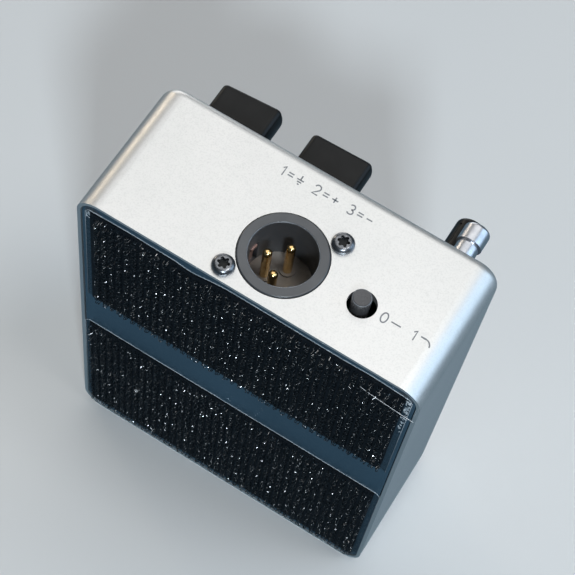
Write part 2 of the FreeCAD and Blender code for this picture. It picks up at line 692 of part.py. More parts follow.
def export_components():
    chips = [on_board(-26 + 13 * i, 50.5, 4.0, 6.0, 1.7) for i in range(4)]
    cans = [
        rod_y(2.6, MAIN_BOARD_BACK, MAIN_BOARD_BACK + 7.0, -33 + 8 * i, 62.0) for i in range(4)
    ]
    cans = [fillet_at_y(can, MAIN_BOARD_BACK + 7.0, 0.5) for can in cans]
    films = [on_board(x, z, 7.0, 4.0, 7.5) for x in (3.0, 12.0) for z in (61.5, 67.5)]
    resistors = [
        on_board(-30 + 4.0 * i, z, 2.0, 1.2, 0.6) for i in range(12) for z in (44.8, 56.0)
    ]
    export("audio_chips", group(chips))
    export("electrolytic_capacitors", group(cans))
    export("film_capacitors", group(films))
    export("chip_resistors", group(resistors))


def export_transformer():
    """Isolating transformer: a wound coil through a stack of iron plates."""
    x, z = -30.0, 78.0
    core = on_board(x, z, 18.0, 16.0, 13.0)
    windows = [
        box(centred(x + s * 5.0, 4.0), (MAIN_BOARD_BACK + 3.0, MAIN_BOARD_BACK + 10.0), (z - 9, z + 9))
        for s in (-1, 1)
    ]
    core = core.cut(windows)
    coil = box(centred(x, 13.6), (MAIN_BOARD_BACK + 3.2, MAIN_BOARD_BACK + 9.8), (z - 7.0, z + 7.0))
    coil = coil.cut(box(centred(x, 6.2), (MAIN_BOARD_BACK, MAIN_BOARD_BACK + 13), (z - 8, z + 8)))
    export("transformer_core", core)
    export("transformer_coil", coil)


def export_ribbon():
    """Flat cable from a header on the main board, up and round to the output board."""
    x = -21.0
    width = 12.0
    thick = 0.8
    header_z = 96.6
    bend = 2.4
    low_y = MAIN_BOARD_BACK + 3.5
    high_y = 8.2
    top_z = OUT_BOARD_TOP - BOARD_T
    headers = [
        box(centred(x, width + 2), (MAIN_BOARD_BACK, low_y), centred(header_z, 3.0)),
        box(centred(x, width + 2), centred(high_y, 3.0), (top_z - 3.0, top_z)),
    ]
    turn_z = header_z + bend
    straight = box(centred(x, width), (low_y, high_y - bend), centred(header_z, thick))
    outer = rod_x(bend + thick / 2, x - width / 2, x + width / 2, high_y - bend, turn_z)
    inner = rod_x(bend - thick / 2, x - width / 2, x + width / 2, high_y - bend, turn_z)
    quarter = box(centred(x, width + 2), (high_y - bend, high_y + 5), (turn_z - 5, turn_z))
    curve = outer.cut(inner).common(quarter)
    rise = box(centred(x, width), centred(high_y, thick), (turn_z, top_z - 3.0))
    export("ribbon_headers", group(headers))
    export("ribbon_cable", straight.fuse([curve, rise]).removeSplitter())


# ------------------------------------------------------------------------------ export

export("enclosure_shell", enclosure_shell())
export("base_plate", base_plate())
export("base_plate_screws", base_plate_screws())
export_base_strips()

export("xlr_housing", xlr_housing())
export("xlr_contact_carrier", xlr_contact_carrier())
export("xlr_pins", xlr_pins())
export("xlr_ground_contact", xlr_ground_contact())
export("xlr_screws", xlr_screws())
export("output_board", output_board())

export("button_switch_case", button_switch_case())
export("button_plunger", button_plunger())
export("button_cap", button_cap())
export("button_spring", button_spring())

export_knob_sets()
export_trim_sets()
export_footswitch()
export_lamp()

for name, z in JACK_Z.items():
    export(name + "_jack", jack(z))
export("jack_contacts", jack_contacts())
export("dc_inlet", dc_inlet())
export("dc_centre_pin", dc_centre_pin())

export("main_board", main_board())
export_board_mounting()
export_components()
export_transformer()
export_ribbon()
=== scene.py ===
import json
import math
import random

import bmesh
import bpy
from mathutils import Matrix, Vector


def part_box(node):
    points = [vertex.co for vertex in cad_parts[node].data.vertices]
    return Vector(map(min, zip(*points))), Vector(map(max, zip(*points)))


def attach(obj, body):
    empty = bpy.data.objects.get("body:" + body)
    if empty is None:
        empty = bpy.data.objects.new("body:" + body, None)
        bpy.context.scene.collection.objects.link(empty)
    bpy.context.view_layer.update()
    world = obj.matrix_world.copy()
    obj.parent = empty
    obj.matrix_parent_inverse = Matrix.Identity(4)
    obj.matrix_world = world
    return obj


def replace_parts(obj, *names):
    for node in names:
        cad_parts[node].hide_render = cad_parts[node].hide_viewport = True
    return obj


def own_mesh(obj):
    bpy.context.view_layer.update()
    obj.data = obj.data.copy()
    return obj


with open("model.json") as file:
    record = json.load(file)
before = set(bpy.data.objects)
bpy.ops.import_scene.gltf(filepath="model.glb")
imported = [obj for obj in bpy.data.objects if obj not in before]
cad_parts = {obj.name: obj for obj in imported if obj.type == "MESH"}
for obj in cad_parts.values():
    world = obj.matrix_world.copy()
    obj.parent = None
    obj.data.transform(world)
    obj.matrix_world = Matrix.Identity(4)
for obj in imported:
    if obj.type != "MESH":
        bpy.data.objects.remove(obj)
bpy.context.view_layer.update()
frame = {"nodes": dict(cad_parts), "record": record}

# Direct injection box, standing on its front end: the connector panel is the top, the control
# face looks to -Y and the base, with its hook tape, to +Y. Lengths are in millimetres unless a
# comment says metres; MM turns them into metres.
MM = 0.001
nodes = frame["nodes"]


# ------------------------------------------------------------------ places read from the frame

def box_mm(node):
    low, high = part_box(node)
    return low / MM, high / MM


def centre_mm(node):
    low, high = box_mm(node)
    return (low + high) / 2


SHELL_LOW, SHELL_HIGH = box_mm("enclosure_shell")
TOP_Z = SHELL_HIGH.z        # connector panel
FACE_Y = SHELL_LOW.y        # control face


# -------------------------------------------------------------------------------------- camera

CAMERA_PLACE = Vector((-0.0725, 0.18165, 0.3727 + TOP_Z * MM))      # metres
CAMERA_RIGHT = Vector((-0.8499, -0.5198, 0.0856))
CAMERA_UP = Vector((0.5023, -0.7507, 0.4291))
CAMERA_LENS = 110.5
CAMERA_SENSOR = 36.0


def make_camera():
    """Looks down at the connector panel and the base, at the photograph's viewing angle."""
    right = CAMERA_RIGHT.normalized()
    back = right.cross(CAMERA_UP).normalized()
    up = back.cross(right)
    turn = Matrix((right, up, back)).transposed().to_4x4()
    data = bpy.data.cameras.new("camera")
    data.sensor_width = CAMERA_SENSOR
    data.lens = CAMERA_LENS
    data.clip_start = 0.01
    camera = bpy.data.objects.new("camera", data)
    camera.matrix_world = Matrix.Translation(CAMERA_PLACE) @ turn
    bpy.context.scene.collection.objects.link(camera)
    bpy.context.scene.camera = camera


make_camera()


# ---------------------------------------------------------------------------- material helpers

def srgb(r, g, b):
    """Linear colour of an 8-bit display colour."""
    def channel(value):
        value /= 255.0
        return value / 12.92 if value <= 0.04045 else ((value + 0.055) / 1.055) ** 2.4
    return channel(r), channel(g), channel(b), 1.0


class Paint:
    """One Principled material with helpers for the nodes that vary it over the surface."""

    def __init__(self, name, roughness=0.5, metallic=0.0, specular=0.5):
        self.material = bpy.data.materials.new(name)
        self.material.use_nodes = True
        self.tree = self.material.node_tree
        self.shader = self.tree.nodes["Principled BSDF"]
        self.shader.inputs["Roughness"].default_value = roughness
        self.shader.inputs["Metallic"].default_value = metallic
        self.shader.inputs["Specular IOR Level"].default_value = specular
        self.coordinates = self.tree.nodes.new("ShaderNodeTexCoord").outputs["Object"]
        self.last_bump = None

    def node(self, kind, **settings):
        made = self.tree.nodes.new(kind)
        for key, value in settings.items():
            setattr(made, key, value)
        return made

    def link(self, output, target):
        self.tree.links.new(output, target)

    def stretched(self, scale):
        """Object coordinates scaled differently along each axis."""
        mapping = self.node("ShaderNodeMapping")
        mapping.inputs["Scale"].default_value = scale
        self.link(self.coordinates, mapping.inputs["Vector"])
        return mapping.outputs["Vector"]

    def noise(self, per_m, detail=3.0, stretch=None, roughness=0.5):
        """Noise with about this many features per metre."""
        made = self.node("ShaderNodeTexNoise")
        made.inputs["Scale"].default_value = per_m
        made.inputs["Detail"].default_value = detail
        made.inputs["Roughness"].default_value = roughness
        self.link(self.stretched(stretch) if stretch else self.coordinates, made.inputs["Vector"])
        return made.outputs["Fac"]

    def ranged(self, value, low, high, start=0.3, end=0.7):
        """Maps the range from start to end onto the range from low to high."""
        made = self.node("ShaderNodeMapRange")
        for key, number in zip(("From Min", "From Max", "To Min", "To Max"), (start, end, low, high)):
            made.inputs[key].default_value = number
        self.link(value, made.inputs["Value"])
        return made.outputs["Result"]

    def mixed(self, factor, first, second):
        """Colour between two colours or colour outputs."""
        made = self.node("ShaderNodeMix", data_type="RGBA")
        self.link(factor, made.inputs["Factor"])
        for socket, value in (("A", first), ("B", second)):
            target = [i for i in made.inputs if i.name == socket and i.type == "RGBA"][0]
            if isinstance(value, tuple):
                target.default_value = value
            else:
                self.link(value, target)
        return [o for o in made.outputs if o.type == "RGBA"][0]

    def clouded(self, factor, light, dark):
        """Base colour that drifts between a light and a dark tone."""
        self.colour(self.mixed(self.ranged(factor, 0.0, 1.0), light, dark))

    def colour(self, output):
        self.link(output, self.shader.inputs["Base Color"])

    def rough(self, output):
        self.link(output, self.shader.inputs["Roughness"])

    def bump(self, height, strength, distance):
        made = self.node("ShaderNodeBump")
        made.inputs["Strength"].default_value = strength
        made.inputs["Distance"].default_value = distance * MM
        self.link(height, made.inputs["Height"])
        if self.last_bump:
            self.link(self.last_bump, made.inputs["Normal"])
        self.last_bump = made.outputs["Normal"]
        self.link(self.last_bump, self.shader.inputs["Normal"])


# ----------------------------------------------------------------------------------- materials

def blasted_aluminium(name, light, dark, roughness=0.42, metallic=0.9):
    """Bead-blasted, clear-anodised aluminium: very fine even grain with faint clouding."""
    paint = Paint(name, roughness, metallic)
    cloud = paint.noise(30.0, 3.0)
    grain = paint.noise(2600.0, 2.0)
    speck = paint.noise(900.0, 2.0)
    base = paint.mixed(paint.ranged(cloud, 0.0, 1.0), light, dark)
    fleck = tuple(c * 0.80 for c in dark[:3]) + (1.0,)
    paint.colour(paint.mixed(paint.ranged(grain, 0.0, 0.42, 0.46, 0.74), base, fleck))
    paint.rough(paint.ranged(speck, roughness - 0.03, roughness + 0.04))
    paint.bump(grain, 0.25, 0.010)
    return paint.material


def moulded(name, light, dark, roughness=0.5, grain_per_m=2600.0, grain_depth=0.01, specular=0.3):
    """Moulded plastic with a spark-eroded grain, faint clouding and rubbed patches."""
    paint = Paint(name, roughness, specular=specular)
    cloud = paint.noise(140.0, 4.0)
    grain = paint.noise(grain_per_m, 2.0)
    paint.clouded(cloud, light, dark)
    rub = paint.noise(260.0, 6.0, roughness=0.65)
    paint.rough(paint.ranged(rub, roughness - 0.07, roughness + 0.07))
    paint.bump(grain, 0.35, grain_depth)
    return paint.material


def scuffed(name, light, dark, scratch, roughness):
    """Dark moulding with sparse fine pale scratches from plugs pushed against it."""
    paint = Paint(name, roughness, specular=0.9)
    cloud = paint.noise(160.0, 4.0)
    base = paint.mixed(paint.ranged(cloud, 0.0, 1.0), light, dark)
    marks = paint.noise(210.0, 5.0, stretch=(1.0, 6.0, 6.0), roughness=0.75)
    paint.colour(paint.mixed(paint.ranged(marks, 0.0, 0.7, 0.66, 0.74), base, scratch))
    paint.rough(paint.ranged(cloud, roughness - 0.05, roughness + 0.06))
    paint.bump(paint.noise(3000.0, 2.0), 0.35, 0.008)
    return paint.material


def painted_edge_highlight():
    """Pale painted highlight for thin ridges along edges, patchy between a dark and a pale grey."""
    paint = Paint("painted_edge_highlight", 0.28, specular=0.9)
    highlight_patch = paint.noise(320.0, 5.0, roughness=0.7)
    paint.clouded(highlight_patch, srgb(74, 77, 81), srgb(150, 154, 160))
    paint.rough(paint.ranged(highlight_patch, 0.2, 0.4))
    paint.bump(highlight_patch, 0.3, 0.01)
    return paint.material


def plated(name, light, dark, roughness=0.25, streak=(1.0, 1.0, 1.0), streak_per_m=900.0):
    """Machined and plated metal: fine tool marks, small stains and uneven polish."""
    paint = Paint(name, roughness, metallic=1.0)
    marks = paint.noise(streak_per_m, 3.0, stretch=streak)
    stain = paint.noise(420.0, 5.0, roughness=0.7)
    paint.colour(paint.mixed(paint.ranged(stain, 0.0, 1.0, 0.35, 0.72), light, dark))
    paint.rough(paint.ranged(stain, roughness * 0.8, roughness * 1.35))
    paint.bump(marks, 0.35, 0.003)
    return paint.material


def dark_steel():
    """Blackened steel of the socket's screws."""
    paint = Paint("dark_steel", 0.3, metallic=1.0)
    stain = paint.noise(1500.0, 4.0, roughness=0.65)
    paint.clouded(stain, srgb(150, 152, 156), srgb(98, 101, 106))
    paint.rough(paint.ranged(stain, 0.22, 0.40))
    paint.bump(stain, 0.3, 0.01)
    return paint.material


def gloss(name, light, dark, roughness=0.18):
    """Smooth shiny coating with slight waviness."""
    paint = Paint(name, roughness, specular=0.5)
    wave = paint.noise(300.0, 3.0)
    paint.clouded(wave, light, dark)
    paint.rough(paint.ranged(paint.noise(1800.0, 4.0), roughness * 0.8, roughness * 1.4))
    paint.bump(wave, 0.2, 0.02)
    return paint.material


def clear_film():
    """Clear adhesive film, a little cloudy where air and dust sit under it."""
    paint = Paint("clear_film", 0.12, specular=0.5)
    haze = paint.noise(700.0, 5.0, roughness=0.65)
    paint.clouded(haze, srgb(104, 132, 150), srgb(74, 98, 116))
    paint.rough(paint.ranged(haze, 0.08, 0.25))
    paint.link(paint.ranged(haze, 0.10, 0.30), paint.shader.inputs["Alpha"])
    paint.bump(haze, 0.3, 0.03)
    return paint.material


def film_highlight_paint():
    """Painted highlight for the film's cut edge, its blisters and its curled corner: near-white, patchy.
    """
    paint = Paint("film_highlight_paint", 0.3, specular=1.0)
    patch = paint.noise(500.0, 4.0, roughness=0.7)
    paint.clouded(patch, srgb(240, 243, 245), srgb(170, 184, 193))
    paint.rough(paint.ranged(patch, 0.12, 0.3))
    paint.bump(patch, 0.4, 0.03)
    return paint.material


def nylon(name, light, dark, roughness):
    """Glossy black nylon, slightly paler where the filaments are stretched."""
    paint = Paint(name, roughness, specular=0.8)
    paint.shader.inputs["IOR"].default_value = 1.7
    paint.shader.inputs["Coat Weight"].default_value = 0.6
    paint.shader.inputs["Coat Roughness"].default_value = 0.08
    tone = paint.noise(1400.0, 3.0)
    paint.clouded(tone, light, dark)
    paint.rough(paint.ranged(paint.noise(2300.0, 2.0), roughness * 0.7, roughness * 1.4))
    paint.bump(tone, 0.2, 0.01)
    return paint.material


def woven_backing():
    """Tightly woven nylon backing between the hooks."""
    paint = Paint("woven_backing", 0.6, specular=0.25)
    across = paint.node("ShaderNodeTexWave", wave_type="BANDS", bands_direction="X")
    along = paint.node("ShaderNodeTexWave", wave_type="BANDS", bands_direction="Z")
    for wave in (across, along):
        wave.inputs["Scale"].default_value = 420.0
        wave.inputs["Distortion"].default_value = 1.2
        paint.link(paint.coordinates, wave.inputs["Vector"])
    weave = paint.node("ShaderNodeMath", operation="MAXIMUM")
    paint.link(across.outputs["Fac"], weave.inputs[0])
    paint.link(along.outputs["Fac"], weave.inputs[1])
    paint.clouded(weave.outputs[0], srgb(4, 9, 14), srgb(9, 17, 25))
    paint.rough(paint.ranged(paint.noise(800.0), 0.5, 0.75))
    paint.bump(weave.outputs[0], 0.6, 0.08)
    return paint.material


def circuit_board():
    """Green solder mask with paler copper traces under it."""
    paint = Paint("circuit_board", 0.3)
    bricks = paint.node("ShaderNodeTexBrick")
    bricks.inputs["Scale"].default_value = 160.0
    bricks.inputs["Mortar Size"].default_value = 0.06
    bricks.inputs["Color1"].default_value = srgb(16, 72, 48)
    bricks.inputs["Color2"].default_value = srgb(22, 84, 55)
    bricks.inputs["Mortar"].default_value = srgb(48, 122, 84)
    flat = paint.node("ShaderNodeMapping")
    flat.inputs["Rotation"].default_value = (math.pi / 2, 0, 0)
    paint.link(paint.coordinates, flat.inputs["Vector"])
    paint.link(flat.outputs["Vector"], bricks.inputs["Vector"])
    paint.colour(bricks.outputs["Color"])
    paint.rough(paint.ranged(paint.noise(500.0), 0.22, 0.42))
    paint.bump(bricks.outputs["Fac"], 0.3, 0.03)
    return paint.material


def label_ink():
    """Screen-printed grey ink, slightly thin in places."""
    paint = Paint("label_ink", 0.55, specular=0.2)
    patch = paint.noise(2600.0, 3.0)
    paint.clouded(patch, srgb(112, 113, 116), srgb(138, 139, 142))
    paint.rough(paint.ranged(patch, 0.45, 0.65))
    paint.bump(patch, 0.3, 0.01)
    return paint.material


def lamp_lens():
    """Milky diffusing lens of an unlit lamp."""
    paint = Paint("lamp_lens", 0.15)
    cloud = paint.noise(900.0, 4.0)
    paint.clouded(cloud, srgb(222, 226, 230), srgb(196, 202, 210))
    paint.rough(paint.ranged(cloud, 0.1, 0.25))
    paint.shader.inputs["Transmission Weight"].default_value = 0.5
    paint.bump(cloud, 0.2, 0.02)
    return paint.material


def cad_materials():
    """The materials named by the CAD nodes' slots."""
    return {
        "shell": blasted_aluminium("shell_metal", srgb(236, 235, 233), srgb(228, 228, 226)),
        # The base plate is the shell's blasted finish made darker and slate-blue: partly its own tone,
        # partly painted shade of the base, which faces away from the lights.
        "plate": blasted_aluminium("plate_metal_shaded", srgb(84, 116, 136), srgb(72, 102, 121),
                                   roughness=0.38, metallic=0.6),
        "steel": plated("steel", srgb(150, 154, 160), srgb(92, 96, 104), 0.34),
        "bright_metal": plated("bright_metal", srgb(224, 226, 230), srgb(198, 201, 208), 0.3,
                               streak=(1.0, 14.0, 1.0), streak_per_m=420.0),
        "black_plastic": moulded("black_plastic", srgb(26, 27, 29), srgb(17, 18, 19), 0.45),
        "film": clear_film(),
        "socket_plastic": scuffed("socket_plastic", srgb(68, 70, 73), srgb(58, 60, 63),
                                  srgb(130, 132, 136), 0.34),
        "carrier_plastic": moulded("carrier_plastic", srgb(146, 140, 134), srgb(118, 113, 108),
                                   0.3, grain_per_m=2000.0),
        "gold": plated("gold", srgb(252, 218, 156), srgb(232, 188, 118), 0.14),
        "copper": plated("copper", srgb(246, 214, 204), srgb(222, 176, 164), 0.3),
        "circuit_board": circuit_board(),
        "button_plastic": moulded("button_plastic", srgb(78, 77, 78), srgb(66, 65, 66), 0.26,
                                  grain_per_m=3000.0, grain_depth=0.005, specular=0.6),
        "knob_plastic": moulded("knob_plastic", srgb(22, 22, 22), srgb(14, 14, 14), 0.36,
                                grain_per_m=2200.0, grain_depth=0.006, specular=0.25),
        "pointer": gloss("pointer", srgb(232, 232, 226), srgb(214, 213, 205), 0.3),
        "lamp": lamp_lens(),
        "iron": plated("iron", srgb(92, 90, 88), srgb(58, 54, 50), 0.5, streak=(1.0, 1.0, 9.0)),
        "winding": gloss("winding", srgb(206, 150, 52), srgb(176, 118, 34), 0.3),
        "chip": moulded("chip_epoxy", srgb(34, 34, 35), srgb(24, 24, 25), 0.55),
        "capacitor_sleeve": gloss("capacitor_sleeve", srgb(28, 42, 92), srgb(20, 30, 70)),
        "film_capacitor": gloss("film_capacitor", srgb(176, 46, 34), srgb(150, 32, 24)),
        "resistor": moulded("resistor_coat", srgb(52, 52, 54), srgb(36, 36, 38), 0.4),
        "ribbon": gloss("ribbon", srgb(168, 168, 168), srgb(142, 142, 144), 0.35),
    }


def added_materials():
    """The materials of the pieces made here, and of the nodes in NODE_PAINT."""
    return {
        "nylon": nylon("hook_nylon", srgb(4, 10, 17), srgb(2, 6, 11), 0.24),
        "backing": woven_backing(),
        "film_highlight_paint": film_highlight_paint(),
        "lint": gloss("lint", srgb(250, 250, 250), srgb(236, 236, 238), 0.4),
        "dark_steel": dark_steel(),
        "edge_highlight_paint": painted_edge_highlight(),
        "ink": label_ink(),
    }


NODE_PAINT = {"xlr_screws": "dark_steel"}
TAPE_SLOT = "tape"          # its nodes are all replaced below


def paint_cad_nodes():
    """Gives each CAD node its slot's material, or one of its own."""
    for part in frame["record"]["subparts"]:
        if part["material_slot"] != TAPE_SLOT:
            mesh = nodes[part["node"]].data
            mesh.materials.clear()
            mesh.materials.append(materials[NODE_PAINT.get(part["node"], part["material_slot"])])


materials = {**cad_materials(), **added_materials()}
paint_cad_nodes()


# -------------------------------------------------------------------------------- mesh helpers

class Form:
    """Closed skins, in millimetres, gathered into one mesh."""

    def __init__(self):
        self.vertices = []
        self.faces = []

    def skin(self, rings):
        """Joins rings that have the same number of points into a closed skin with flat ends."""
        start = len(self.vertices)
        sides = len(rings[0])
        last = start + (len(rings) - 1) * sides
        for ring in rings:
            self.vertices.extend(ring)
        for low in range(start, last, sides):
            for k in range(sides):
                a = low + k
                b = low + (k + 1) % sides
                self.faces.append((a, b, b + sides, a + sides))
        self.faces.append(tuple(range(start, start + sides)))
        self.faces.append(tuple(range(last, last + sides)))

    def tube(self, path, radius, sides, roll=0.0):
        """Adds a thin closed tube along 3-D points, carried along without twisting."""
        last = len(path) - 1
        side = (path[1] - path[0]).orthogonal()
        rings = []
        for i, point in enumerate(path):
            tangent = (path[min(i + 1, last)] - path[max(i - 1, 0)]).normalized()
            side = (side - tangent * side.dot(tangent)).normalized()
            other = tangent.cross(side)
            ring = []
            for k in range(sides):
                angle = roll + 2 * math.pi * k / sides
                ring.append(point + (side * math.cos(angle) + other * math.sin(angle)) * radius)
            rings.append(ring)
        self.skin(rings)

    def piece(self, name, material, slot, body="unit", smooth=False):
        """Makes the mesh an object that rides on a body."""
        mesh = bpy.data.meshes.new(name)
        mesh.from_pydata([Vector(v) * MM for v in self.vertices], [], self.faces)
        work = bmesh.new()
        work.from_mesh(mesh)
        bmesh.ops.recalc_face_normals(work, faces=work.faces)
        work.to_mesh(mesh)
        work.free()
        mesh.materials.append(materials[material])
        if smooth:
            mesh.shade_smooth()
        made = bpy.data.objects.new(name, mesh)
        bpy.context.scene.collection.objects.link(made)
        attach(made, body)
        return made


def plate(outline, y, thickness):
    """Flat form from an (x, z) outline, its near side at y."""
    form = Form()
    form.skin([[(x, level, z) for x, z in outline] for level in (y, y + thickness)])
    return form


def arc(cx, cy, rx, ry, start, end, steps=12):
    """Points of an elliptical arc, in degrees."""
    points = []
    for i in range(steps + 1):
        a = math.radians(start + (end - start) * i / steps)
        points.append((cx + rx * math.cos(a), cy + ry * math.sin(a)))
    return points


def smooth_line(points, steps):
    """Catmull-Rom curve through points, given as tuples of any length."""
    line = []
    last = len(points) - 1
    for i in range(last):
        four = (points[max(i - 1, 0)], points[i], points[i + 1], points[min(i + 2, last)])
        for step in range(steps):
            t = step / steps
            weights = (-t + 2 * t * t - t ** 3, 2 - 5 * t * t + 3 * t ** 3,
                       t + 4 * t * t - 3 * t ** 3, t ** 3 - t * t)
            line.append(tuple(sum(w * c for w, c in zip(weights, column)) / 2 for column in zip(*four)))
    line.append(tuple(points[-1]))
    return line


# ----------------------------------------------------------------------------------- hook tape

HOOK_PITCH_X = 1.10
HOOK_PITCH_Z = 1.45
HOOK_R = 0.11
HOOK_SIDES = 5
HOOK_CURL = (120.0, 60.0, 5.0, -40.0)   # degrees round the crook of a hook
BACKING_T = 0.45
FOOT_SINK = 0.05            # of a hook's foot into the backing
FIRST_COLUMN = 0.6          # from the strip's end
BARE_EDGE = 0.4             # without hooks, along the upper edge
FRAY = 0.12

# The rear strip was cut by hand: height of its wavy upper edge across the base.
REAR_EDGE = ((-44.6, 123.4), (-35.0, 124.3), (-26.0, 124.0), (-18.0, 124.1), (-7.0, 124.3), (6.0, 124.3),
             (15.0, 122.6), (20.0, 123.3), (27.0, 123.5), (34.0, 123.7), (44.6, 123.2))
REAR_LINE = smooth_line(REAR_EDGE, 8)
FRONT_EDGE_TRIM = 0.15


def upper_edge(tape, x):
    """Height of a strip's upper edge at x."""
    if tape != "hook_tape_rear":
        return box_mm(tape)[1].z - FRONT_EDGE_TRIM
    for (x0, z0), (x1, z1) in zip(REAR_LINE, REAR_LINE[1:]):
        if x <= x1:
            break
    return z0 + (z1 - z0) * (x - x0) / (x1 - x0)


def hook_profile(height, reach, side):
    """One hook: a straight stem, then a crook curling over to one side."""
    rise = height - reach * 0.5
    points = [(0.0, 0.0), (0.0, rise)]
    for angle in HOOK_CURL:
        a = math.radians(angle)
        points.append((reach * 0.5 + reach * 0.5 * math.cos(a), rise + reach * 0.5 * math.sin(a)))
    return [(x * side, y) for x, y in points]


def add_hook(form, foot, profile, turn, lean):
    """Adds one bent filament standing on the backing, its facets turned with it."""
    path = []
    for u, v in profile:
        x = foot[0] + u * math.cos(turn) + lean[0] * v
        z = foot[2] + u * math.sin(turn) + lean[1] * v
        path.append(Vector((x, foot[1] + v, z)))
    form.tube(path, HOOK_R, HOOK_SIDES, 7.0 * turn)


def hook_rows(tape, chance):
    """Rows of hooks, alternate rows curling to opposite sides."""
    low, high = box_mm(tape)
    foot_y = low.y + BACKING_T - FOOT_SINK
    height = high.y - HOOK_R - foot_y
    form = Form()
    for column in range(int((high.x - low.x - 2 * FIRST_COLUMN) / HOOK_PITCH_X) + 1):
        side = 1 if column % 2 else -1
        start = chance.uniform(0.2, 0.8)
        for row in range(int((high.z - low.z) / HOOK_PITCH_Z) + 1):
            x = low.x + FIRST_COLUMN + column * HOOK_PITCH_X + chance.uniform(-0.09, 0.09)
            z = low.z + start + row * HOOK_PITCH_Z + chance.uniform(-0.14, 0.14)
            tall = height * chance.uniform(0.84, 0.98)
            reach = chance.uniform(0.42, 0.66)
            turn = chance.gauss(0.0, 0.5)
            lean = (chance.gauss(0.0, 0.16), chance.gauss(0.0, 0.16))
            if z < upper_edge(tape, x) - BARE_EDGE:
                add_hook(form, (x, foot_y, z), hook_profile(tall, reach, side), turn, lean)
    return form


def tape_backing(tape, chance):
    """The strip's woven backing, its long edges softly frayed."""
    low, high = box_mm(tape)
    steps = 80
    across = [low.x + (high.x - low.x) * i / steps for i in range(steps + 1)]
    outline = [(x, low.z + chance.uniform(0.0, FRAY)) for x in across]
    outline += [(x, upper_edge(tape, x) - chance.uniform(0.0, FRAY)) for x in reversed(across)]
    return plate(outline, low.y, BACKING_T)


def make_tape(tape, seed):
    """Hooks and backing of one strip."""
    chance = random.Random(seed)
    hooks = hook_rows(tape, chance).piece(tape + "_hooks", "nylon", TAPE_SLOT)
    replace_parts(hooks, tape)
    backing = tape_backing(tape, chance).piece(tape + "_backing", "backing", TAPE_SLOT)
    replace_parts(backing, tape)


# -------------------------------------------------------------------------------- adhesive film

FILM_T = 0.10
FILM_REACH = 1.7            # past each end of its strip
FILM_MARGIN = 0.22          # past the strip's upper edge
CORNER_R = 1.4
BEAD_R = 0.10


def film_outline(film, tape):
    """The film's square lower corners, and its wavy upper edge with rounded corners."""
    low, high = box_mm(tape)
    left = low.x - FILM_REACH
    right = high.x + FILM_REACH
    bottom = box_mm(film)[0].z
    upper = []
    steps = 90
    for i in range(steps + 1):
        x = right + (left - right) * i / steps
        inner = min(max(x, low.x), high.x)
        from_end = min(x - left, right - x)
        drop = CORNER_R - math.sqrt(max(0.0, CORNER_R ** 2 - max(0.0, CORNER_R - from_end) ** 2))
        upper.append((x, upper_edge(tape, inner) + FILM_MARGIN - drop))
    return [(left, bottom), (right, bottom)], upper


def make_film(film, tape):
    """Clear sheet under a strip, with a thin bead along its cut edge painted near-white as a highlight.
    """
    low = box_mm(film)[0]
    (left, right), upper = film_outline(film, tape)
    sheet = plate([left, right] + upper, low.y, FILM_T).piece(film + "_sheet", "film", "film")
    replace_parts(sheet, film)
    bead = Form()
    bead.tube([Vector((x, low.y + FILM_T, z)) for x, z in [right] + upper + [left]], BEAD_R, 6)
    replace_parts(bead.piece(film + "_edge_highlight_bead", "film_highlight_paint", "film", smooth=True), film)


BLISTER_SIDES = 10
BLISTER_RINGS = ((1.0, 0.0), (0.75, 0.55), (0.4, 0.9))     # shares of its radius and its height
BLISTER_SINK = 0.02         # into the film


def add_blister(form, centre, length, width, height, turn):
    """Low closed dome: an air pocket or wrinkle in the film."""
    rings = []
    for share, rise in BLISTER_RINGS:
        ring = []
        for k in range(BLISTER_SIDES):
            angle = 2 * math.pi * k / BLISTER_SIDES
            u = length * share * math.cos(angle)
            v = width * share * math.sin(angle)
            ring.append((centre[0] + u * math.cos(turn) - v * math.sin(turn), centre[1] + height * rise,
                         centre[2] + u * math.sin(turn) + v * math.cos(turn)))
        rings.append(ring)
    form.skin(rings)


def make_blisters(name, x_range, z_range, count, seed):
    """Scattered blisters in the rear film, beside one end of its strip."""
    chance = random.Random(seed)
    y = box_mm("adhesive_film_rear")[0].y + FILM_T - BLISTER_SINK
    form = Form()
    for _ in range(count):
        centre = (chance.uniform(*x_range), y, chance.uniform(*z_range))
        length = chance.uniform(0.22, 0.7)
        add_blister(form, centre, length, length * chance.uniform(0.25, 0.6),
                    chance.uniform(0.06, 0.16), chance.uniform(0.0, math.pi))
    # The blisters are painted near-white, as highlights on the film.
    form.piece(name, "film_highlight_paint", "film", smooth=True)


RIDGE_R = 0.07
CURL_RIDGES = ((0.35, 2.6), (0.9, 1.7))     # in from the film's end, and down from its corner


def make_corner_curl():
    """The rear film's lifted corner: two thin curled ridges beside the strip's end."""
    right = box_mm("hook_tape_rear")[1].x + FILM_REACH
    top = upper_edge("hook_tape_rear", right) + 0.2
    y = box_mm("adhesive_film_rear")[0].y + FILM_T
    form = Form()
    for inset, droop in CURL_RIDGES:
        x = right - inset
        z = top - droop
        ridge = smooth_line(((x, y, top - 0.9), (x - 0.1, y + 0.12, z), (x - 0.7, y + 0.1, z - 1.0),
                             (x - 1.0, y, z - 1.1)), 6)
        form.tube([Vector(p) for p in ridge], RIDGE_R, 5)
    # The ridges are painted near-white, as highlights on the curled film.
    form.piece("film_corner_curl", "film_highlight_paint", "film", smooth=True)


FIBRE_R = 0.07
FIBRE_SINK = 0.12           # of its middle, below the top of the strip
FIBRE_PATH = ((-32.8, 0.3, 118.7), (-36.5, 0.0, 118.5), (-40.2, 0.0, 118.05), (-44.0, 0.1, 117.2),
              (-47.6, 0.5, 116.0))          # x, depth below its middle, z


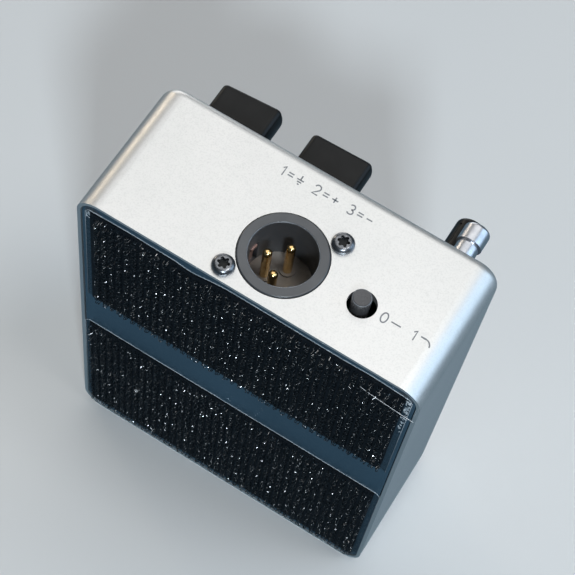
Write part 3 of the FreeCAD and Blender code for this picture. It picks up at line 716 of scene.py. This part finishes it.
def make_fibre():
    """Stray white fibre caught on the hooks."""
    y = box_mm("hook_tape_rear")[1].y - FIBRE_SINK
    line = smooth_line([(x, y - depth, z) for x, depth, z in FIBRE_PATH], 6)
    form = Form()
    form.tube([Vector(p) for p in line], FIBRE_R, 5)
    form.piece("stray_fibre", "lint", TAPE_SLOT, smooth=True)


# ------------------------------------------------------------------- button spring, screws, painted shade and highlights

SPRING_WIRE_R = 0.2
SPRING_TURNS = 4
SPRING_STEPS = 24 * SPRING_TURNS


def make_button_spring():
    """Round-wire coil spring in place of the spring node, with a mesh of its own."""
    low, high = box_mm("button_spring")
    centre = (low + high) / 2
    coil_r = (high.x - low.x) / 2 - SPRING_WIRE_R
    rise = high.z - low.z - 2 * SPRING_WIRE_R
    path = []
    for i in range(SPRING_STEPS + 1):
        angle = 2 * math.pi * SPRING_TURNS * i / SPRING_STEPS
        x = centre.x + coil_r * math.cos(angle)
        y = centre.y + coil_r * math.sin(angle)
        z = low.z + SPRING_WIRE_R + rise * i / SPRING_STEPS
        path.append(Vector((x, y, z)))
    form = Form()
    form.tube(path, SPRING_WIRE_R * 0.95, 8)
    spring = form.piece("button_coil_spring", "steel", "steel", smooth=True)
    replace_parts(spring, "button_spring")
    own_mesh(spring)


SCREW_HEAD_R = 2.9
RECESS_R = 1.45
RECESS_SHADE_Z = (TOP_Z + 0.53, TOP_Z + 0.65)       # its underside and its top


def make_painted_recess_shade():
    """Black disc near the bottom of each screw's driving recess: painted shade, standing in for the dark
    of the recess.
    """
    low, high = box_mm("xlr_screws")
    inset = Vector((SCREW_HEAD_R, SCREW_HEAD_R, 0.0))
    form = Form()
    for centre in (low + inset, high - inset):
        ring = arc(centre.x, centre.y, RECESS_R, RECESS_R, 0, 345, 23)
        form.skin([[(x, y, z) for x, y in ring] for z in RECESS_SHADE_Z])
    form.piece("screw_recess_painted_shade", "black_plastic", "steel")


SOCKET_EDGE_R = 8.72
SOCKET_EDGE_DROP = 0.12     # below the collar's top
BUTTON_EDGE_R = 2.28
BUTTON_EDGE_DROP = 0.17     # below the cap's top


def add_highlight_ring(name, centre, z, radius, body):
    """Thin ridge round a circular edge, painted pale as a highlight."""
    ring = arc(centre.x, centre.y, radius, radius, 0, 359, 72)
    form = Form()
    form.tube([Vector((x, y, z)) for x, y in ring], RIDGE_R, 6)
    form.piece(name, "edge_highlight_paint", "button_plastic", body, smooth=True)


def make_highlight_rings():
    # Painted highlights: pale rings along the socket collar's edge and the button cap's edge.
    add_highlight_ring("socket_highlight_ring", centre_mm("xlr_contact_carrier"),
                    box_mm("xlr_housing")[1].z - SOCKET_EDGE_DROP, SOCKET_EDGE_R, "unit")
    add_highlight_ring("button_highlight_ring", centre_mm("button_cap"),
                    box_mm("button_cap")[1].z - BUTTON_EDGE_DROP, BUTTON_EDGE_R, "button")


# --------------------------------------------------------------------------------- printed marks

STROKE = 0.34
INK_T = 0.03
INK_SINK = 0.01

# Each sign: its width and its strokes, for a height of 1.
SIGNS = {
    " ": (0.35, []),
    "0": (0.60, [arc(0.3, 0.5, 0.3, 0.5, 90, 450, 24)]),
    "1": (0.34, [[(0.04, 0.76), (0.28, 1.0), (0.28, 0.0)]]),
    "2": (0.60, [arc(0.3, 0.7, 0.29, 0.3, 165, -38) + [(0.02, 0.0), (0.6, 0.0)]]),
    "3": (0.58, [arc(0.28, 0.75, 0.25, 0.25, 150, -90), arc(0.28, 0.25, 0.29, 0.25, 90, -150)]),
    "=": (0.55, [[(0.0, 0.64), (0.55, 0.64)], [(0.0, 0.36), (0.55, 0.36)]]),
    "+": (0.62, [[(0.31, 0.19), (0.31, 0.81)], [(0.0, 0.5), (0.62, 0.5)]]),
    "-": (0.58, [[(0.0, 0.5), (0.58, 0.5)]]),
    "earth": (0.70, [[(0.35, 1.0), (0.35, 0.5)], [(0.0, 0.5), (0.7, 0.5)],
                     [(0.13, 0.26), (0.57, 0.26)], [(0.26, 0.02), (0.44, 0.02)]]),
    "flat": (0.95, [[(0.0, 0.5), (0.95, 0.5)]]),
    "rolled_off": (1.10, [[(0.0, 0.72), (0.5, 0.72)] + arc(0.5, 0.12, 0.6, 0.6, 90, 5)]),
    "into": (1.30, [[(0.0, 0.5), (1.3, 0.5)], [(0.45, 0.9), (0.0, 0.5), (0.45, 0.1)]]),
    "out_of": (1.30, [[(0.0, 0.5), (1.3, 0.5)], [(0.85, 0.9), (1.3, 0.5), (0.85, 0.1)]]),
    "centre_pin": (1.00, [arc(0.5, 0.5, 0.13, 0.13, 0, 360), arc(0.5, 0.5, 0.45, 0.45, 35, 325, 20)]),
}


class Print(Form):
    """Flat ink strokes on one plane of the enclosure."""

    def __init__(self, origin, across, up):
        super().__init__()
        self.origin = Vector(origin)
        self.across = Vector(across)
        self.up = Vector(up)
        self.out = self.across.cross(self.up)

    def place(self, point, lift):
        return self.origin + self.across * point[0] + self.up * point[1] + self.out * lift

    def stroke(self, points):
        """One stroke of even width along in-plane points, with mitred bends."""
        last = len(points) - 1
        rings = []
        for i, point in enumerate(points):
            here = Vector(point)
            ahead = (Vector(points[min(i + 1, last)]) - Vector(points[min(i, last - 1)])).normalized()
            behind = (Vector(points[max(i, 1)]) - Vector(points[max(i - 1, 0)])).normalized()
            tangent = (ahead + behind).normalized()
            reach = min(1.4, 1.0 / max(0.2, tangent.dot(ahead))) * STROKE / 2
            normal = Vector((-tangent.y, tangent.x)) * reach
            corners = ((1, -INK_SINK), (-1, -INK_SINK), (-1, INK_T), (1, INK_T))
            rings.append([self.place(here + normal * side, lift) for side, lift in corners])
        self.skin(rings)

    def signs(self, row, centre, height, span=None, gap=0.4):
        """A row of signs about a centre, spread to a span or set with a fixed gap."""
        widths = [SIGNS[sign][0] * height for sign in row]
        if span:
            gap = (span - sum(widths)) / (len(row) - 1)
        x = centre[0] - (sum(widths) + gap * (len(row) - 1)) / 2
        for sign, width in zip(row, widths):
            for points in SIGNS[sign][1]:
                self.stroke([(x + u * height, centre[1] + (v - 0.5) * height) for u, v in points])
            x += width + gap


# The panel's rows of signs: where each is from the part that it belongs to, measured towards -X
# and towards the control face, and how wide it is.
PANEL_SIGN_HEIGHT = 2.7
PIN_KEY = ("1", "=", "earth", " ", "2", "=", "+", " ", "3", "=", "-")
PIN_KEY_PLACE = (0.3, 19.6)
PIN_KEY_SPAN = 25.6
SETTINGS = ("0", "flat", " ", "1", "rolled_off")
SETTINGS_PLACE = (12.45, -0.1)
SETTINGS_SPAN = 13.4


def print_panel():
    """Pin key of the balanced output, and the two settings of the button."""
    panel = Print((0, 0, TOP_Z), (-1, 0, 0), (0, -1, 0))
    for node, row, place, span in (("xlr_contact_carrier", PIN_KEY, PIN_KEY_PLACE, PIN_KEY_SPAN),
                                   ("button_cap", SETTINGS, SETTINGS_PLACE, SETTINGS_SPAN)):
        part = centre_mm(node)
        panel.signs(row, (place[0] - part.x, place[1] - part.y), PANEL_SIGN_HEIGHT, span)
    panel.piece("panel_marks", "ink", "pointer")


FACE_FLAT_TOP = TOP_Z - 3.1         # ticks stay below the face's rounded end
KNOB_DIAL = (9.7, 11.0)             # inner and outer radius of its ticks
TRIM_DIAL = (5.0, 5.6)
LONG_TICK = 0.5                     # longer at the ends and the middle of the turn
NUMBER_PLACE = (7.4, 11.2)          # of 0 and 10, beside and below a knob's axis
NUMBER_HEIGHT = 1.9
SIDE_SIGN_X = 40.4                  # of the signs beside the connectors in the side
ARROW_HEIGHT = 2.4
POLARITY_HEIGHT = 2.2
LAMP_ARC_R = 5.6


def dial_ticks(face, centre, dial):
    """Eleven ticks round a control, without those that would run off the flat of the face."""
    inner, outer = dial
    for i in range(11):
        angle = math.radians(-150 + 30 * i)
        u = math.sin(angle)
        v = math.cos(angle)
        reach = outer + (LONG_TICK if i in (0, 5, 10) else 0.0)
        if centre.z + reach * v < FACE_FLAT_TOP:
            face.stroke([(centre.x + inner * u, centre.z + inner * v),
                         (centre.x + reach * u, centre.z + reach * v)])


def print_control_face():
    """Dials, arrows at the jacks, polarity at the power inlet and an arc under the lamp."""
    face = Print((0, FACE_Y, 0), (1, 0, 0), (0, 0, 1))
    for name in ("level", "blend"):
        centre = centre_mm(name + "_pot_body")
        dial_ticks(face, centre, KNOB_DIAL)
        beside, below = NUMBER_PLACE
        face.signs(("0",), (centre.x - beside, centre.z - below), NUMBER_HEIGHT)
        face.signs(("1", "0"), (centre.x + beside, centre.z - below), NUMBER_HEIGHT)
    for name in ("metal_trim", "black_trim"):
        dial_ticks(face, centre_mm(name + "_pot_body"), TRIM_DIAL)
    for node, row, height in (("input_jack", ("into",), ARROW_HEIGHT),
                              ("output_jack", ("out_of",), ARROW_HEIGHT),
                              ("dc_inlet", ("-", "centre_pin", "+"), POLARITY_HEIGHT)):
        face.signs(row, (SIDE_SIGN_X, centre_mm(node).z), height)
    lamp = centre_mm("status_lamp_bezel")
    face.stroke(arc(lamp.x, lamp.z, LAMP_ARC_R, LAMP_ARC_R, 200, 340))
    face.piece("control_face_marks", "ink", "pointer")


# --------------------------------------------------------------------------- studio, in metres

FLOOR_HALF = 6.0


def make_floor():
    """Pale paper floor that doesn't show in the object's reflections."""
    corners = [(x, y, 0) for x, y in ((-1, -1), (1, -1), (1, 1), (-1, 1))]
    mesh = bpy.data.meshes.new("floor")
    mesh.from_pydata([Vector(corner) * FLOOR_HALF for corner in corners], [], [(0, 1, 2, 3)])
    paint = Paint("floor_paper", 0.9, specular=0.1)
    paint.clouded(paint.noise(3.0, 2.0), srgb(214, 213, 211), srgb(209, 209, 208))
    mesh.materials.append(paint.material)
    floor = bpy.data.objects.new("floor", mesh)
    bpy.context.scene.collection.objects.link(floor)
    floor.visible_glossy = False
    floor.visible_diffuse = False


def make_world():
    """Dim surroundings, a little lighter and bluer below the horizon."""
    world = bpy.data.worlds.new("studio")
    world.use_nodes = True
    tree = world.node_tree
    direction = tree.nodes.new("ShaderNodeTexCoord")
    axes = tree.nodes.new("ShaderNodeSeparateXYZ")
    ramp = tree.nodes.new("ShaderNodeValToRGB")
    below, above = ramp.color_ramp.elements
    below.position = 0.35
    below.color = (0.105, 0.165, 0.215, 1.0)
    above.position = 0.65
    above.color = (0.05, 0.06, 0.07, 1.0)
    height = tree.nodes.new("ShaderNodeMapRange")
    height.inputs["From Min"].default_value = -1.0
    tree.links.new(direction.outputs["Generated"], axes.inputs["Vector"])
    tree.links.new(axes.outputs["Z"], height.inputs["Value"])
    tree.links.new(height.outputs["Result"], ramp.inputs["Fac"])
    tree.links.new(ramp.outputs["Color"], tree.nodes["Background"].inputs["Color"])
    bpy.context.scene.world = world


# Each light: its place, its width and height, its watts and its colour.
LIGHTS = {
    "key": ((-0.45, -0.05, 1.35), (0.4, 0.4), 4.5, (1.0, 0.99, 0.97)),
    "overhead": ((0.30, -0.50, 1.30), (1.4, 1.2), 6.1, (1.0, 0.995, 0.98)),
    "back_lamp": ((-0.50, 0.75, 1.00), (0.16, 0.16), 9.5, (0.80, 0.91, 1.0)),
    "window": ((-1.05, -0.55, 0.72), (0.9, 1.2), 5.8, (0.58, 0.78, 1.0)),
    "warm_side": ((1.1, -0.55, 0.35), (0.12, 0.4), 1.1, (1.0, 0.86, 0.68)),
    "front_fill": ((0.8, -1.2, 0.15), (0.9, 0.6), 3.5, (1.0, 0.98, 0.96)),
}
LIGHT_AIM = Vector((0.0, 0.0, 0.06))


def make_lights():
    for name, (place, size, power, colour) in LIGHTS.items():
        data = bpy.data.lights.new(name, "AREA")
        data.shape = "RECTANGLE"
        data.size, data.size_y = size
        data.energy = power
        data.color = colour
        light = bpy.data.objects.new(name, data)
        light.location = place
        light.rotation_mode = "QUATERNION"
        light.rotation_quaternion = (LIGHT_AIM - Vector(place)).to_track_quat("-Z", "Y")
        bpy.context.scene.collection.objects.link(light)


# ----------------------------------------------------------------------------------------- build

make_tape("hook_tape_rear", seed=11)
make_tape("hook_tape_front", seed=23)
make_film("adhesive_film_rear", "hook_tape_rear")
make_film("adhesive_film_front", "hook_tape_front")
make_blisters("film_wrinkles_left", x_range=(-45.4, -44.3), z_range=(103.0, 123.0), count=46, seed=5)
make_blisters("film_wrinkles_right", x_range=(44.3, 45.4), z_range=(119.0, 122.3), count=7, seed=8)
make_fibre()
make_corner_curl()
make_button_spring()
make_highlight_rings()
print_panel()
print_control_face()
make_painted_recess_shade()
make_world()
make_floor()
make_lights()
bpy.context.scene.view_settings.view_transform = "Standard"
